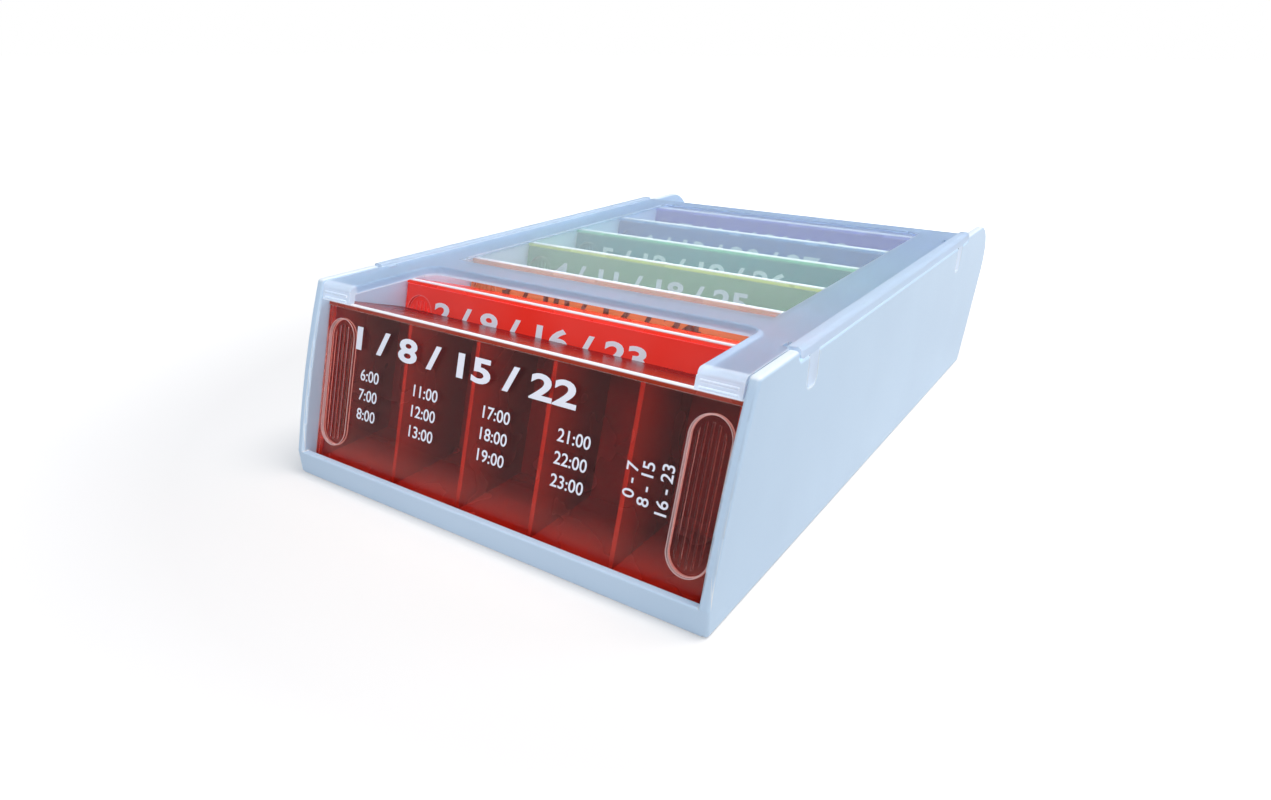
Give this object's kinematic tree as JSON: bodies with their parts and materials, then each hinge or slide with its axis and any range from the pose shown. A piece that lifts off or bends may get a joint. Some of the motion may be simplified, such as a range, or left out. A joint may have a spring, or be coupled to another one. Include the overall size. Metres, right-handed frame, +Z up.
{
  "type": "weekly pill drawer organizer",
  "caption": "White tub with seven leaning, tinted pill cassettes under a clear clip-on lid; each cassette is a divided tray closed by a flat cover.",
  "frame": {"origin": "centre of the bounding box in plan, on the flat underside", "axes": "+X to the right seen from the front, +Y towards the rear wall, +Z up"},
  "size_m": [0.125, 0.1992, 0.0494],
  "materials": {
    "case_white": "fine satin moulded surface",
    "lid_clear": "clear moulding, frosted border round a polished window",
    "tray_dark_red": "translucent tinted moulding",
    "cover_dark_red": "glossy transparent tinted cover",
    "tray_red": "translucent tinted moulding",
    "cover_red": "glossy transparent tinted cover",
    "tray_orange": "translucent tinted moulding",
    "cover_orange": "glossy transparent tinted cover",
    "tray_yellow_green": "translucent tinted moulding",
    "cover_yellow_green": "glossy transparent tinted cover",
    "tray_green": "translucent tinted moulding",
    "cover_green": "glossy transparent tinted cover",
    "tray_blue": "translucent tinted moulding",
    "cover_blue": "glossy transparent tinted cover",
    "tray_violet": "translucent tinted moulding",
    "cover_violet": "glossy transparent tinted cover"
  },
  "bodies": {
    "case": {"case": "case_white"},
    "lid": {"lid": "lid_clear"},
    "cassette_1": {"tray_1": "tray_dark_red", "cover_1": "cover_dark_red"},
    "cassette_2": {"tray_2": "tray_red", "cover_2": "cover_red"},
    "cassette_3": {"tray_3": "tray_orange", "cover_3": "cover_orange"},
    "cassette_4": {"tray_4": "tray_yellow_green", "cover_4": "cover_yellow_green"},
    "cassette_5": {"tray_5": "tray_green", "cover_5": "cover_green"},
    "cassette_6": {"tray_6": "tray_blue", "cover_6": "cover_blue"},
    "cassette_7": {"tray_7": "tray_violet", "cover_7": "cover_violet"}
  },
  "joints": [
    {"name": "lid_lift", "type": "slide", "parent": "case", "child": "lid", "axis": [0, 0, 1], "range_m": [0, 0.08]},
    {"name": "cassette_1_lift", "type": "slide", "parent": "case", "child": "cassette_1", "axis": [0, 0.3173, 0.9483], "range_m": [0, 0.056]},
    {"name": "cassette_2_lift", "type": "slide", "parent": "case", "child": "cassette_2", "axis": [0, 0.3173, 0.9483], "range_m": [0, 0.056]},
    {"name": "cassette_3_lift", "type": "slide", "parent": "case", "child": "cassette_3", "axis": [0, 0.3173, 0.9483], "range_m": [0, 0.056]},
    {"name": "cassette_4_lift", "type": "slide", "parent": "case", "child": "cassette_4", "axis": [0, 0.3173, 0.9483], "range_m": [0, 0.056]},
    {"name": "cassette_5_lift", "type": "slide", "parent": "case", "child": "cassette_5", "axis": [0, 0.3173, 0.9483], "range_m": [0, 0.056]},
    {"name": "cassette_6_lift", "type": "slide", "parent": "case", "child": "cassette_6", "axis": [0, 0.3173, 0.9483], "range_m": [0, 0.056]},
    {"name": "cassette_7_lift", "type": "slide", "parent": "case", "child": "cassette_7", "axis": [0, 0.3173, 0.9483], "range_m": [0, 0.056]}
  ],
  "couplings": [
    {"joint": "cassette_1_lift", "follows": "lid_lift", "ratio": 0.7},
    {"joint": "cassette_2_lift", "follows": "lid_lift", "ratio": 0.7},
    {"joint": "cassette_3_lift", "follows": "lid_lift", "ratio": 0.7},
    {"joint": "cassette_4_lift", "follows": "lid_lift", "ratio": 0.7},
    {"joint": "cassette_5_lift", "follows": "lid_lift", "ratio": 0.7},
    {"joint": "cassette_6_lift", "follows": "lid_lift", "ratio": 0.7},
    {"joint": "cassette_7_lift", "follows": "lid_lift", "ratio": 0.7}
  ]
}
